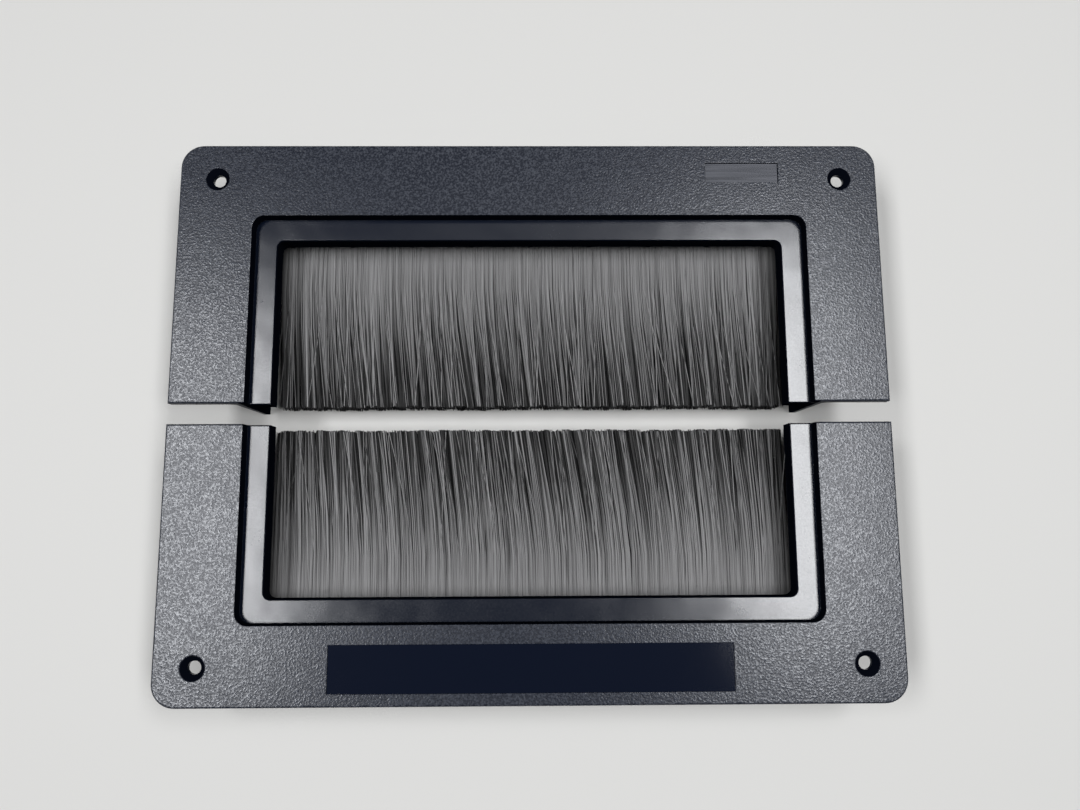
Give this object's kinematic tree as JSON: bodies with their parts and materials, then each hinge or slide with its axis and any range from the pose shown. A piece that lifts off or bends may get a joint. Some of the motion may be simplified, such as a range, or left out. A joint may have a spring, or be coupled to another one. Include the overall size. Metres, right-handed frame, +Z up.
{
  "type": "split brush grommet",
  "caption": "Split rectangular floor grommet: two U-shaped moulded halves with countersunk flanges, a deep collar and rows of soft bristles that seal round cables.",
  "frame": {"origin": "middle of the gap between the two halves, at the foot of the collars that the part stands on", "axes": "+X across the width, +Y from the front half to the rear half, +Z up out of the floor"},
  "size_m": [0.28, 0.218, 0.035],
  "materials": {
    "moulded_frame": "moulded black plastic, fine grain on the flange and a satin band round the opening",
    "bristles": "black nylon filaments",
    "brush_channel": "galvanised strip",
    "core_wire": "galvanised wire",
    "retainer": "moulded black plastic",
    "fasteners": "zinc plated"
  },
  "bodies": {
    "root": {"rear_frame": "moulded_frame", "rear_upper_brush_channel": "brush_channel", "rear_upper_brush_wire": "core_wire", "rear_upper_bristles": "bristles", "rear_lower_brush_channel": "brush_channel", "rear_lower_brush_wire": "core_wire", "rear_lower_bristles": "bristles", "rear_retainer": "retainer", "rear_retainer_screws": "fasteners", "front_frame": "moulded_frame", "front_upper_brush_channel": "brush_channel", "front_upper_brush_wire": "core_wire", "front_upper_bristles": "bristles", "front_lower_brush_channel": "brush_channel", "front_lower_brush_wire": "core_wire", "front_lower_bristles": "bristles", "front_retainer": "retainer", "front_retainer_screws": "fasteners"}
  },
  "joints": []
}
